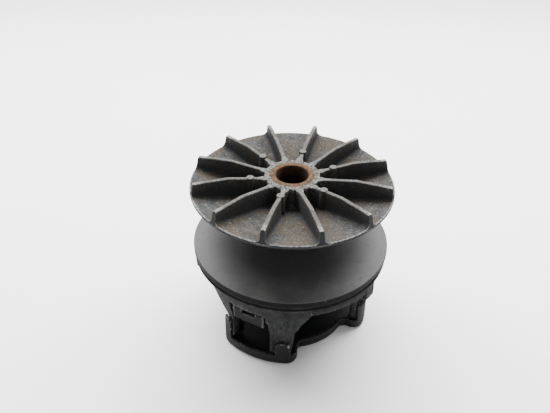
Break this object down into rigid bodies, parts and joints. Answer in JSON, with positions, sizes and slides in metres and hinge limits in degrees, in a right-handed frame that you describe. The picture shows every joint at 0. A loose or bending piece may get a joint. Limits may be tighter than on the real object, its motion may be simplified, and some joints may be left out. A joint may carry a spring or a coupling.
{
  "type": "centrifugal drive pulley",
  "caption": "Centrifugal drive pulley of a belt CVT: a ribbed fixed sheave on a tapered-bore post, and a sprung moving sheave with towers, flyweights and a lobed cover.",
  "frame": {"origin": "on the floor under the shaft, at the centre of the box's bottom face", "axes": "+Z along the shaft from the cover up to the fixed sheave; one spider arm points towards -Y"},
  "size_m": [0.203, 0.203, 0.184],
  "materials": {
    "cast_aluminium": "rough weathered casting",
    "sheave_aluminium": "dark turned face, rough casting below",
    "black_cover": "matte black coating on a casting",
    "post_steel": "turned, rusted at the mouth",
    "spider_casting": "as cast",
    "plain_steel": "turned",
    "weight_steel": "ground cam face",
    "zinc_steel": "zinc plated",
    "spring_steel": "oiled wire",
    "bearing_bronze": "sintered",
    "bearing_polymer": "wound polymer liner",
    "button_plastic": "moulded"
  },
  "bodies": {
    "fixed_assembly": {"fixed_sheave": "cast_aluminium", "post": "post_steel", "spider": "spider_casting", "spider_shims": "plain_steel", "lock_nut": "plain_steel", "drive_spring": "spring_steel", "roller_pin_1": "plain_steel", "roller_washers_1": "bearing_polymer", "slider_buttons_1": "button_plastic", "roller_pin_2": "plain_steel", "roller_washers_2": "bearing_polymer", "slider_buttons_2": "button_plastic", "roller_pin_3": "plain_steel", "roller_washers_3": "bearing_polymer", "slider_buttons_3": "button_plastic"},
    "moving_assembly": {"moving_sheave": "sheave_aluminium", "sheave_bushing": "bearing_polymer", "cover": "black_cover", "cover_bushing": "bearing_polymer", "cover_bolts": "zinc_steel", "pivot_bolt_1": "zinc_steel", "pivot_nut_1": "zinc_steel", "pivot_bolt_2": "zinc_steel", "pivot_nut_2": "zinc_steel", "pivot_bolt_3": "zinc_steel", "pivot_nut_3": "zinc_steel"},
    "flyweight_1_body": {"flyweight_1": "weight_steel", "flyweight_bushing_1": "bearing_bronze"},
    "roller_1_body": {"roller_1": "plain_steel", "roller_bushing_1": "bearing_polymer"},
    "flyweight_2_body": {"flyweight_2": "weight_steel", "flyweight_bushing_2": "bearing_bronze"},
    "roller_2_body": {"roller_2": "plain_steel", "roller_bushing_2": "bearing_polymer"},
    "flyweight_3_body": {"flyweight_3": "weight_steel", "flyweight_bushing_3": "bearing_bronze"},
    "roller_3_body": {"roller_3": "plain_steel", "roller_bushing_3": "bearing_polymer"}
  },
  "joints": [
    {"name": "shift", "type": "slide", "parent": "fixed_assembly", "child": "moving_assembly", "axis": [0, 0, 1], "range_m": [0, 0.031], "stiffness_N_per_m": 24500, "springref_m": -0.01816, "deforming": ["drive_spring"]},
    {"name": "flyweight_1_pivot", "type": "hinge", "parent": "moving_assembly", "child": "flyweight_1_body", "pos_m": [0, -0.06, 0.084], "axis": [-1, 0, 0], "range_deg": [0, 42.5]},
    {"name": "flyweight_2_pivot", "type": "hinge", "parent": "moving_assembly", "child": "flyweight_2_body", "pos_m": [0.05196, 0.03, 0.084], "axis": [0.5, -0.866, 0], "range_deg": [0, 42.5]},
    {"name": "flyweight_3_pivot", "type": "hinge", "parent": "moving_assembly", "child": "flyweight_3_body", "pos_m": [-0.05196, 0.03, 0.084], "axis": [0.5, 0.866, 0], "range_deg": [0, 42.5]},
    {"name": "roller_1_spin", "type": "hinge", "parent": "fixed_assembly", "child": "roller_1_body", "pos_m": [0, -0.074, 0.07], "axis": [1, 0, 0], "continuous": true},
    {"name": "roller_2_spin", "type": "hinge", "parent": "fixed_assembly", "child": "roller_2_body", "pos_m": [0.06409, 0.037, 0.07], "axis": [-0.5, 0.866, 0], "continuous": true},
    {"name": "roller_3_spin", "type": "hinge", "parent": "fixed_assembly", "child": "roller_3_body", "pos_m": [-0.06409, 0.037, 0.07], "axis": [-0.5, -0.866, 0], "continuous": true}
  ],
  "couplings": [
    {"joint": "flyweight_1_pivot", "follows": "shift", "rad_per_m": 23.646},
    {"joint": "flyweight_2_pivot", "follows": "shift", "rad_per_m": 23.646},
    {"joint": "flyweight_3_pivot", "follows": "shift", "rad_per_m": 23.646}
  ]
}
